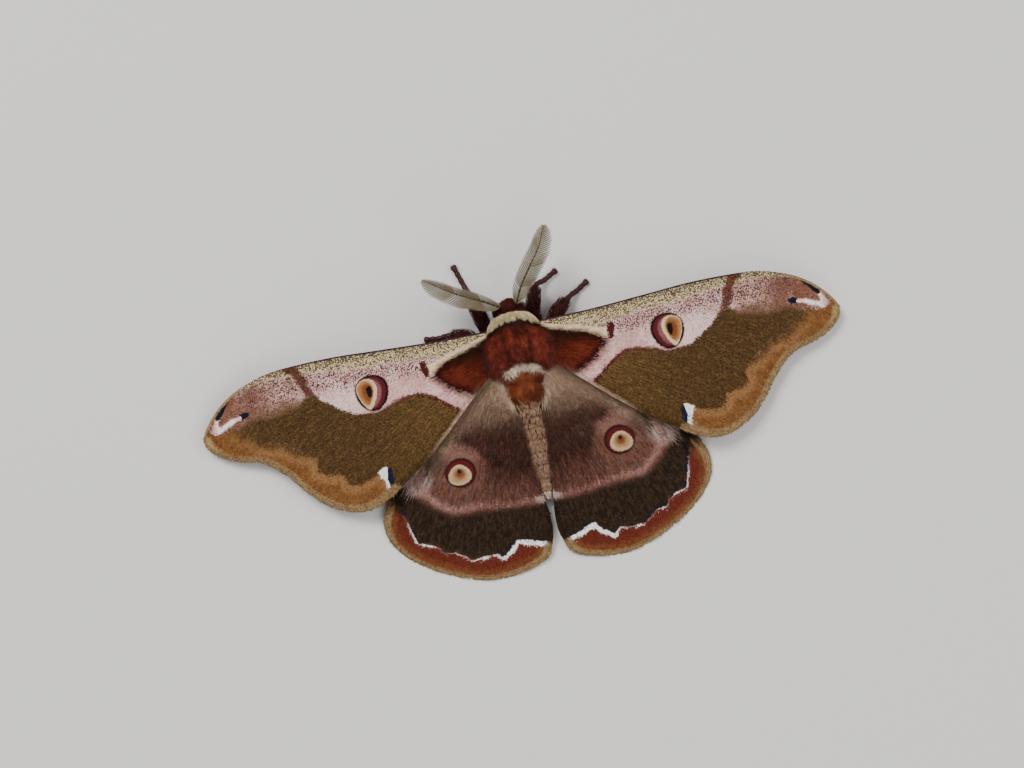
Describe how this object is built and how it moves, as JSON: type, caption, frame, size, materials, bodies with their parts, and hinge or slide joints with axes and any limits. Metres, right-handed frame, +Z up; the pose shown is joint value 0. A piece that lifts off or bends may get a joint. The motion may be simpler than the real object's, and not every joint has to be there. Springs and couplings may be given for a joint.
{
  "type": "silk moth",
  "caption": "Still life-size silk moth with its wings spread flat, feathered feelers, a furry thorax, a tapering abdomen and its legs set on the floor",
  "frame": {"origin": "on the floor under the middle of the thorax, on the flat where the belly rests", "axes": "+Y from the abdomen to the head, +X to the moth's right wing, +Z up"},
  "size_m": [0.1, 0.0518, 0.0103],
  "materials": {
    "fur_maroon": "dense dark rusty maroon fur",
    "fur_cream": "dense cream fur",
    "fur_tan": "short pale tan fur",
    "forewing_olive": "matt wing scales, olive brown and rose with an eyespot",
    "hindwing_rose": "matt wing scales, greyish rose and olive brown with an eyespot",
    "antenna_buff": "matt buff horn",
    "leg_maroon": "short dark maroon fur",
    "eye_black": "glossy near-black compound eye"
  },
  "bodies": {
    "root": {"abdomen": "fur_tan", "antenna_left": "antenna_buff", "antenna_right": "antenna_buff", "collar": "fur_cream", "eye_left": "eye_black", "eye_right": "eye_black", "foreleg_left": "leg_maroon", "foreleg_right": "leg_maroon", "forewing_left": "forewing_olive", "forewing_right": "forewing_olive", "head": "fur_maroon", "hindleg_left": "leg_maroon", "hindleg_right": "leg_maroon", "hindwing_left": "hindwing_rose", "hindwing_right": "hindwing_rose", "midleg_left": "leg_maroon", "midleg_right": "leg_maroon", "thorax": "fur_maroon"}
  },
  "joints": []
}
